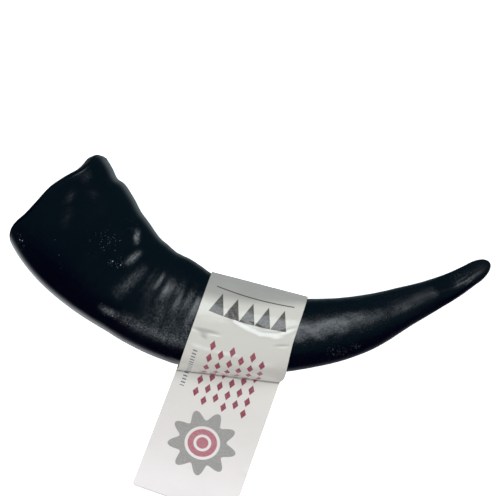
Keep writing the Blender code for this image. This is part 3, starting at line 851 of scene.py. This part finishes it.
# Painted highlight on the folds and painted shade in the dents
paper = colour_mix(tree, ramp(tree, fold_highlight_and_shade["X"], 0.15, 0.55, 0.0, 0.85), paper, FOLD_PAINTED_HIGHLIGHT)
paper = colour_mix(tree, ramp(tree, fold_highlight_and_shade["Y"], 0.08, 0.38, 0.0, 0.55), paper, DENT_PAINTED_SHADE)
# Painted shade: a thin dark line along the crease, where the film pinches
crease_shade = band(tree, away, -0.6, 1.0, 0.7)
crease_shade = maths(tree, "MULTIPLY", crease_shade, ramp(tree, worn, 0.25, 0.5, 0.5, 0.9))
paper = colour_mix(tree, crease_shade, paper, CREASE_PAINTED_SHADE)
grey_share = maths(tree, "MULTIPLY", maths(tree, "MULTIPLY", grey_top, wear), 0.94)
printed = colour_mix(tree, grey_share, paper, DARK_INK)
printed = colour_mix(tree, maths(tree, "MULTIPLY", petals, wear), printed, GREY_INK)
printed = colour_mix(tree, maths(tree, "MULTIPLY", red_disc, wear), printed, PALE_RED_INK)
printed = colour_mix(tree, maths(tree, "MULTIPLY", diamonds, wear), printed, RED_INK)
printed = colour_mix(tree, maths(tree, "MULTIPLY", rungs, wear), printed, BLUE_INK)
tree.links.new(printed, shader.inputs["Base Color"])
tree.links.new(ramp(tree, tint, 0.35, 0.65, 0.13, 0.19), shader.inputs["Roughness"])
shader.inputs["IOR"].default_value = FILM_IOR
creep = noise_value(tree, strip, 0.16, 2.0)
bump = node(tree, "ShaderNodeBump", {"Height": creep, "Strength": 0.3, "Distance": 0.5 * MM})
tree.links.new(bump.outputs["Normal"], shader.inputs["Normal"])
label.data.materials.append(film)
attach(label, "root")
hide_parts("label")

# The floor, the light and the camera. A plain white surface, which doesn't show in the polish, a wide soft
# light overhead, one smaller soft box towards the top of the picture, which gives the horn its shine, and a
# camera that looks straight down.
floor_data = bpy.data.meshes.new("floor")
floor_shape = bmesh.new()
bmesh.ops.create_grid(floor_shape, x_segments=1, y_segments=1, size=3.0)
floor_shape.to_mesh(floor_data)
floor_shape.free()
floor = bpy.data.objects.new("floor", floor_data)
floor.location = (0, 0, -0.05 * MM)
floor.visible_glossy = False
bpy.context.scene.collection.objects.link(floor)
white = bpy.data.materials.new("white surface")
white.use_nodes = True
shader = white.node_tree.nodes["Principled BSDF"]
shader.inputs["Base Color"].default_value = (0.9, 0.9, 0.9, 1)
shader.inputs["Roughness"].default_value = 0.8
shader.inputs["Emission Color"].default_value = (1, 1, 1, 1)
shader.inputs["Emission Strength"].default_value = 0.7
floor.data.materials.append(white)

PICTURE_WIDTH = 500
MM_PER_PIXEL = 0.5
FRAME_MIDDLE = (-1.85, 44.75)
CAMERA_HEIGHT = 900.0
SILHOUETTE_HEIGHT = 18.0
camera_data = bpy.data.cameras.new("camera")
camera = bpy.data.objects.new("camera", camera_data)
bpy.context.scene.collection.objects.link(camera)
camera.location = (FRAME_MIDDLE[0] * MM, FRAME_MIDDLE[1] * MM, CAMERA_HEIGHT * MM)
seen_width = PICTURE_WIDTH * MM_PER_PIXEL
camera_data.lens = camera_data.sensor_width * (CAMERA_HEIGHT - SILHOUETTE_HEIGHT) / seen_width
bpy.context.scene.camera = camera


def area_light(name, size, power, turn, tilt, distance):
    """Rectangular light that points at the horn. Turn is its bearing from the top of the picture."""
    data = bpy.data.lights.new(name, "AREA")
    data.shape = "RECTANGLE"
    data.size, data.size_y = size
    data.energy = power
    light = bpy.data.objects.new(name, data)
    light.rotation_euler = (-tilt, 0, -turn)
    light.location = light.rotation_euler.to_matrix() @ Vector((0, 0, distance))
    bpy.context.scene.collection.objects.link(light)
    return light


overhead = area_light("overhead", (6.0, 6.0), 165.0, 0.0, 0.0, 2.6)
overhead.visible_glossy = False
soft_box = area_light("soft box", (0.46, 0.32), 2.15, math.radians(22), math.radians(31), 1.3)
soft_box.data.color = (0.88, 0.95, 1.0)

# The room that the polish shows: dim and bluish above, darker towards the bottom of the picture, and pale
# straight below, where the white surface lies close round the horn
ROOM_BELOW = (0.004, 0.004, 0.03, 1)
ROOM_ABOVE = (0.03, 0.095, 0.12, 1)
PALE_SURFACE = (1.1, 1.15, 1.2, 1)
BACKDROP = (0.9, 0.9, 0.9, 1)
world = bpy.data.worlds.new("surround")
bpy.context.scene.world = world
world.use_nodes = True
tree = world.node_tree
background = tree.nodes["Background"]
direction = node(tree, "ShaderNodeTexCoord").outputs["Generated"]
facing = node(tree, "ShaderNodeSeparateXYZ", {"Vector": direction}).outputs
room = colour_mix(tree, ramp(tree, facing["Y"], -0.6, 0.0), ROOM_BELOW, ROOM_ABOVE)
bearing = maths(tree, "MULTIPLY", facing["X"], 0.9)
bearing = maths(tree, "ADD", bearing, maths(tree, "MULTIPLY", facing["Y"], 0.45))
lower_left = ramp(tree, bearing, -0.15, -0.6, 0.14, 0.95)
upper_right = ramp(tree, bearing, 0.15, 0.7, 0.0, 0.25)
near_surface = maths(tree, "ADD", lower_left, upper_right)
below = maths(tree, "MULTIPLY", ramp(tree, facing["Z"], -0.28, -0.95), near_surface)
room = colour_mix(tree, below, room, PALE_SURFACE)
seen = node(tree, "ShaderNodeLightPath").outputs["Is Camera Ray"]
tree.links.new(colour_mix(tree, seen, room, BACKDROP), background.inputs["Color"])
bpy.context.scene.view_settings.view_transform = "Standard"
